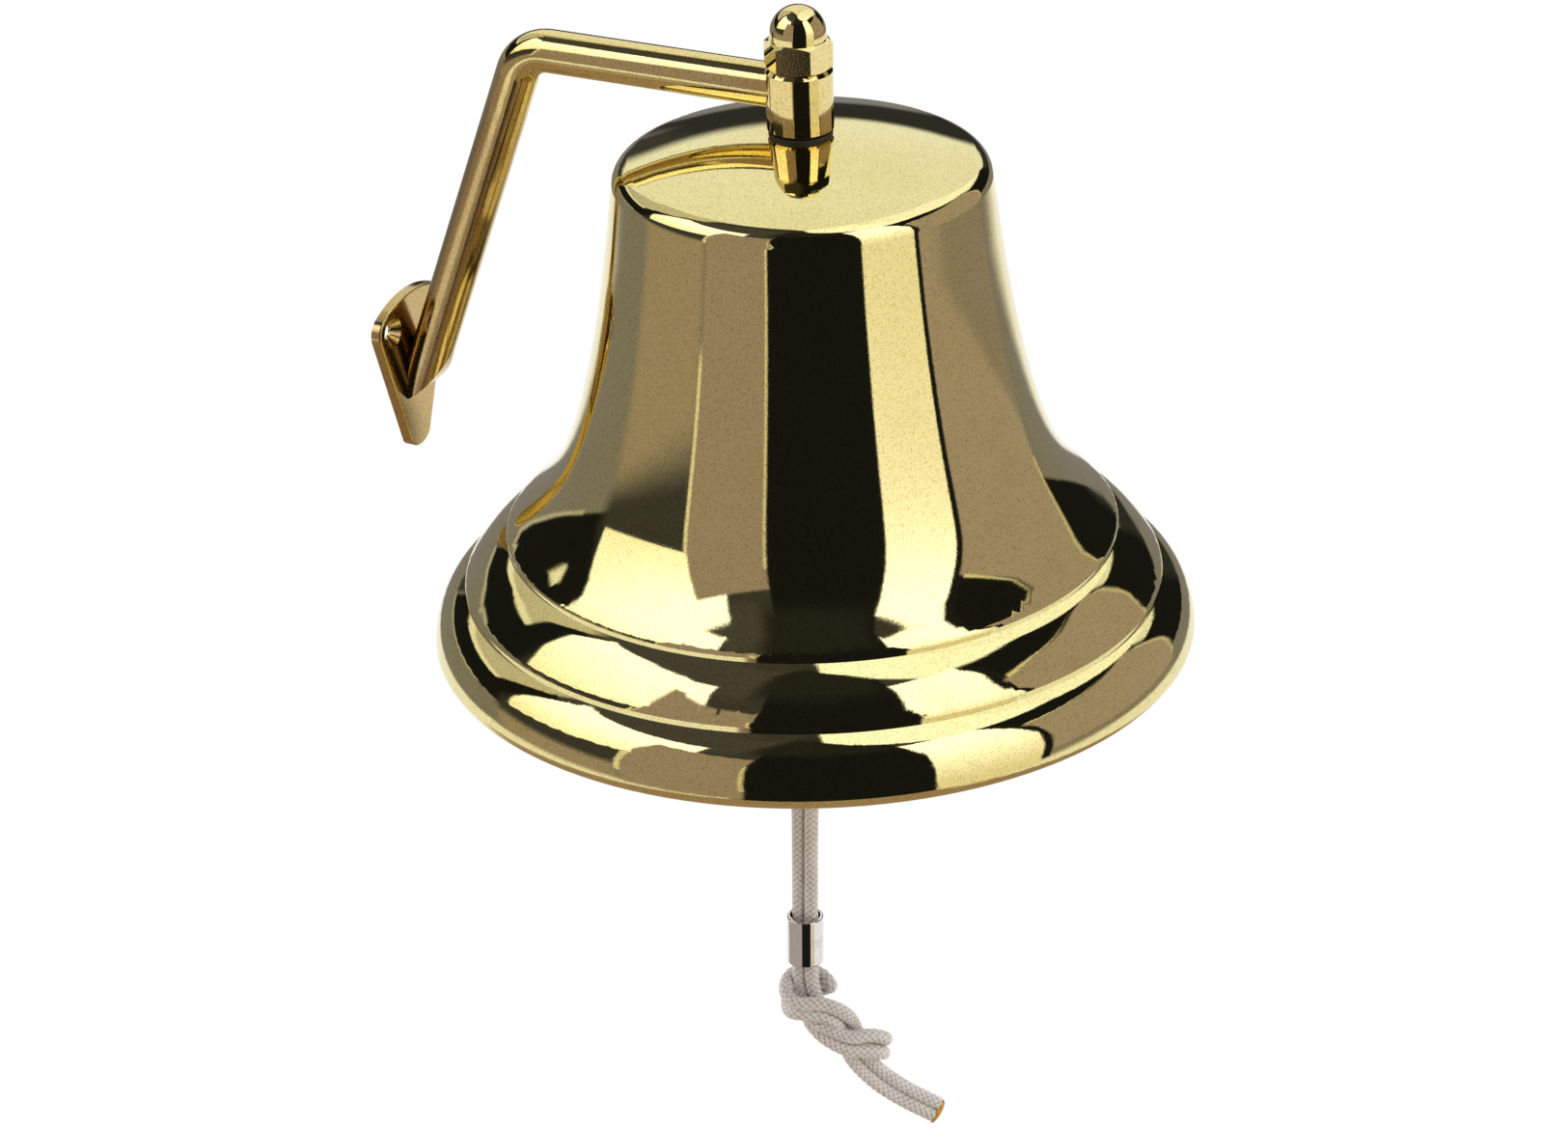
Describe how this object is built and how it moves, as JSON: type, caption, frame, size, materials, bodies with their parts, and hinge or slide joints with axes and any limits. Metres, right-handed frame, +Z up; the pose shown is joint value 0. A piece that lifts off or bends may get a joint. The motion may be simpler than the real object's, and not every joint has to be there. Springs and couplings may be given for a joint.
{
  "type": "ship bell",
  "caption": "Polished brass ship bell hanging from a bent-rod wall bracket, with a linked clapper and a doubled rope lanyard ending in a knot.",
  "frame": {"origin": "back face of the wall plate, midway between its two screw holes", "axes": "+Y into the wall, +Z up, and the bell hangs in front of the plate at negative Y"},
  "size_m": [0.21, 0.232, 0.3455],
  "materials": {
    "bell_brass": "polished, with fine turning marks",
    "bracket_brass": "polished",
    "hardware_brass": "polished",
    "clapper_brass": "turned",
    "washer_fibre": "dull",
    "rope": "braided",
    "ferrule_chrome": "polished",
    "rope_end_melt": "melted and glossy"
  },
  "bodies": {
    "bracket": {"wall_plate": "bracket_brass", "bracket_arm": "bracket_brass", "bracket_boss": "bracket_brass"},
    "bell": {"bell_shell": "bell_brass", "crown_washer": "washer_fibre", "hanger_bolt": "hardware_brass", "cap_nut": "hardware_brass", "inner_washer": "hardware_brass", "inner_nut": "hardware_brass"},
    "link": {"clapper_link": "clapper_brass"},
    "clapper": {"clapper_rod": "clapper_brass", "clapper_ball": "clapper_brass", "clapper_tail_eye": "clapper_brass"},
    "lanyard": {"lanyard_leg_front": "rope", "lanyard_leg_back": "rope", "lanyard_ferrule": "ferrule_chrome", "lanyard_knot": "rope", "lanyard_tail_front": "rope", "lanyard_tail_back": "rope", "lanyard_tip": "rope_end_melt"}
  },
  "joints": [
    {"name": "bell_swivel", "type": "hinge", "parent": "bracket", "child": "bell", "pos_m": [0, -0.127, 0.08], "axis": [0, 0, 1], "continuous": true},
    {"name": "link_swing", "type": "hinge", "parent": "bell", "child": "link", "pos_m": [0, -0.127, 0.046], "axis": [1, 0, 0], "range_deg": [-33.6, 30.4]},
    {"name": "clapper_sway", "type": "hinge", "parent": "link", "child": "clapper", "pos_m": [0, -0.12675, 0.037], "axis": [0, 0.9996, 0.0279], "range_deg": [-7, 7]},
    {"name": "lanyard_swing", "type": "hinge", "parent": "clapper", "child": "lanyard", "pos_m": [0, -0.12249, -0.11534], "axis": [1, 0, 0], "range_deg": [-30, 30]}
  ]
}
